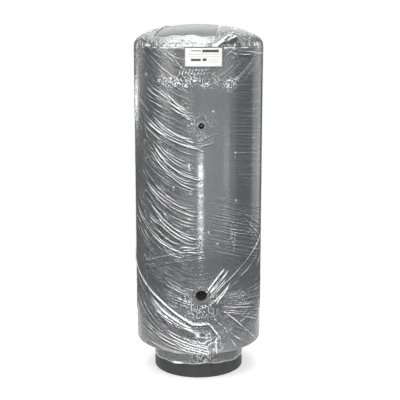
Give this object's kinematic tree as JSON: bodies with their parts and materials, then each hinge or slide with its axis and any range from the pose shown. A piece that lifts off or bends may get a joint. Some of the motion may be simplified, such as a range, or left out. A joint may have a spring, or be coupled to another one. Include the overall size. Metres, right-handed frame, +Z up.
{
  "type": "tank water heater",
  "caption": "Tall floor-standing hot water tank with an insulated vinyl jacket, a domed lid, a foot ring, front and rear pipe sockets, an inner heating coil, and a clear stretch wrap.",
  "frame": {"origin": "centre of the foot ring's underside, on the floor", "axes": "+Z up along the tank's axis, -Y out of the front face with the two front sockets, +X to the right seen from the front"},
  "size_m": [0.6534, 0.6546, 1.789],
  "materials": {
    "grey_vinyl": "satin",
    "foam": "matte",
    "vessel_enamel": "satin",
    "bare_steel": "satin",
    "foot_paint": "matte",
    "black_plastic": "satin",
    "grey_plastic": "satin",
    "rubber": "matte",
    "magnesium": "matte",
    "label_paper": "matte",
    "clear_film": "gloss"
  },
  "bodies": {
    "tank": {"foot_ring": "foot_paint", "vessel_bottom_end": "vessel_enamel", "vessel_shell": "vessel_enamel", "vessel_top_end": "vessel_enamel", "heating_coil": "vessel_enamel", "coil_bracket_1": "bare_steel", "coil_bracket_2": "bare_steel", "coil_bracket_3": "bare_steel", "coil_bracket_4": "bare_steel", "thermometer_socket": "bare_steel", "heater_socket": "bare_steel", "cold_inlet_socket": "bare_steel", "coil_return_socket": "bare_steel", "coil_flow_socket": "bare_steel", "sensor_socket": "bare_steel", "circulation_socket": "bare_steel", "hot_outlet_socket": "bare_steel", "thermometer_collar": "grey_plastic", "heater_collar": "grey_plastic", "cold_inlet_collar": "grey_plastic", "coil_return_collar": "grey_plastic", "coil_flow_collar": "grey_plastic", "sensor_collar": "grey_plastic", "circulation_collar": "grey_plastic", "hot_outlet_collar": "grey_plastic", "cold_inlet_pipe": "bare_steel", "hot_outlet_pipe": "bare_steel", "thermometer_pocket": "bare_steel", "sensor_pocket": "bare_steel", "anode_boss": "bare_steel", "foam_jacket": "foam", "jacket_skin": "grey_vinyl", "jacket_closure_strip": "grey_plastic", "top_insulation": "foam", "rating_label": "label_paper", "body_wrap": "clear_film"},
    "lid": {"lid_shell": "grey_vinyl", "lid_insulation": "foam", "lid_wrap": "clear_film"},
    "thermometer_cap": {"thermometer_cap": "black_plastic"},
    "heater_plug_seal": {"heater_plug_seal": "rubber"},
    "heater_plug": {"heater_plug": "black_plastic"},
    "anode_seal": {"anode_seal": "rubber"},
    "anode": {"anode_plug": "bare_steel", "anode_rod": "magnesium"}
  },
  "joints": [
    {"name": "lid_lift", "type": "slide", "parent": "tank", "child": "lid", "axis": [0, 0, 1], "range_m": [0, 0.25]},
    {"name": "thermometer_cap_pull", "type": "slide", "parent": "tank", "child": "thermometer_cap", "axis": [0, -1, 0], "range_m": [0, 0.04]},
    {"name": "heater_plug_travel", "type": "slide", "parent": "tank", "child": "heater_plug_seal", "axis": [0, -1, 0], "range_m": [0, 0.03002]},
    {"name": "heater_plug_turn", "type": "hinge", "parent": "heater_plug_seal", "child": "heater_plug", "pos_m": [0, -0.27, 0.465], "axis": [0, -1, 0], "range_deg": [0, 4680]},
    {"name": "anode_travel", "type": "slide", "parent": "tank", "child": "anode_seal", "axis": [0, 0, 1], "range_m": [0, 0.01385]},
    {"name": "anode_turn", "type": "hinge", "parent": "anode_seal", "child": "anode", "pos_m": [0, 0, 1.7], "axis": [0, 0, 1], "range_deg": [0, 2160]}
  ],
  "couplings": [
    {"joint": "heater_plug_turn", "follows": "heater_plug_travel", "rad_per_m": 2721.2},
    {"joint": "anode_turn", "follows": "anode_travel", "rad_per_m": 2721.2}
  ]
}
